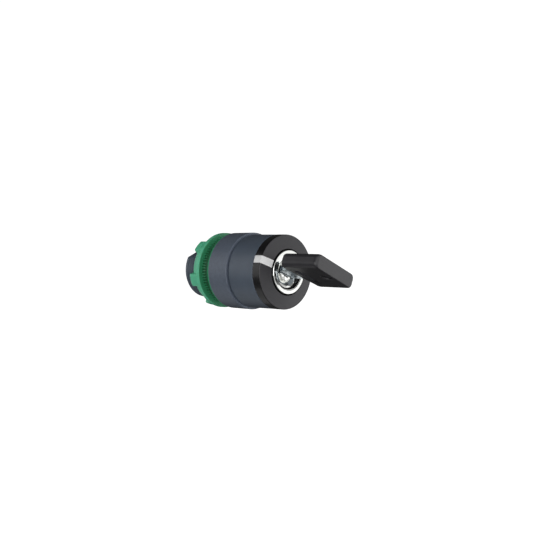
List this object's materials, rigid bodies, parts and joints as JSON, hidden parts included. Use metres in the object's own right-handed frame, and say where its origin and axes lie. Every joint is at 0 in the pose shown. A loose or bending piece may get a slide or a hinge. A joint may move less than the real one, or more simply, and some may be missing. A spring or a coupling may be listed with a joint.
{
  "type": "selector key switch",
  "caption": "Key-operated selector switch head for a round panel hole, with turning marker collar, chrome lock, key and panel nut.",
  "frame": {"origin": "on the switch axis, in the plane of the panel's front face (the shoulder behind the bezel)", "axes": "+Y runs along the switch axis to behind the panel, so the key points to -Y; +Z is the top of the switch, where the barrel has its flat; +X is the right as seen from the front"},
  "size_m": [0.03, 0.0714, 0.03],
  "materials": {
    "housing_plastic": "fine satin texture",
    "bezel_plastic": "fine satin texture",
    "gasket_rubber": "matt",
    "zinc": "cast, bare zinc alloy",
    "steel_pin": "ground",
    "guide_plastic": "satin",
    "spring_steel": "oiled spring steel",
    "spring_wire": "drawn wire",
    "collar_plastic": "gloss side, satin face",
    "marker_plastic": "gloss",
    "seal_rubber": "matt",
    "lock_chrome": "bright chrome plate",
    "wafer_brass": "stamped",
    "cam_plastic": "natural acetal",
    "plunger_plastic": "natural acetal",
    "key_steel": "nickel-plated steel",
    "key_plastic": "satin",
    "nut_plastic": "satin"
  },
  "bodies": {
    "head": {"bushing": "housing_plastic", "bezel": "bezel_plastic", "panel_gasket": "gasket_rubber", "lock_body": "zinc", "lock_pin": "steel_pin", "guide_plate": "guide_plastic", "guide_clip": "spring_steel", "plunger_spring_left": "spring_wire", "plunger_spring_right": "spring_wire"},
    "rotor": {"marker_collar": "collar_plastic", "marker_inlay": "marker_plastic", "collar_seal": "seal_rubber", "lock_cap": "lock_chrome", "lock_plug": "lock_chrome", "plug_clip": "spring_steel", "wafer_set": "wafer_brass", "wafer_springs": "spring_wire", "cam_drum": "cam_plastic"},
    "key": {"key_blade": "key_steel", "key_bow": "key_plastic"},
    "plunger_l": {"plunger_left": "plunger_plastic"},
    "plunger_r": {"plunger_right": "plunger_plastic"},
    "nut": {"panel_nut": "nut_plastic"}
  },
  "joints": [
    {"name": "key_turn", "type": "hinge", "parent": "head", "child": "rotor", "pos_m": [0, 0, 0], "axis": [0, 1, 0], "range_deg": [0, 90]},
    {"name": "key_pull", "type": "slide", "parent": "rotor", "child": "key", "axis": [0, -1, 0], "range_m": [0, 0.03]},
    {"name": "nut_run", "type": "slide", "parent": "head", "child": "nut", "axis": [0, 1, 0], "range_m": [0, 0.03]},
    {"name": "plunger_left_slide", "type": "slide", "parent": "head", "child": "plunger_l", "axis": [0, 1, 0], "range_m": [-0.003, 0], "deforming": ["plunger_spring_left"]},
    {"name": "plunger_right_slide", "type": "slide", "parent": "head", "child": "plunger_r", "axis": [0, 1, 0], "range_m": [0, 0.003], "deforming": ["plunger_spring_right"]}
  ],
  "couplings": [
    {"joint": "plunger_left_slide", "follows": "key_turn", "m_per_rad": -0.0019098},
    {"joint": "plunger_right_slide", "follows": "key_turn", "m_per_rad": 0.0019098}
  ]
}
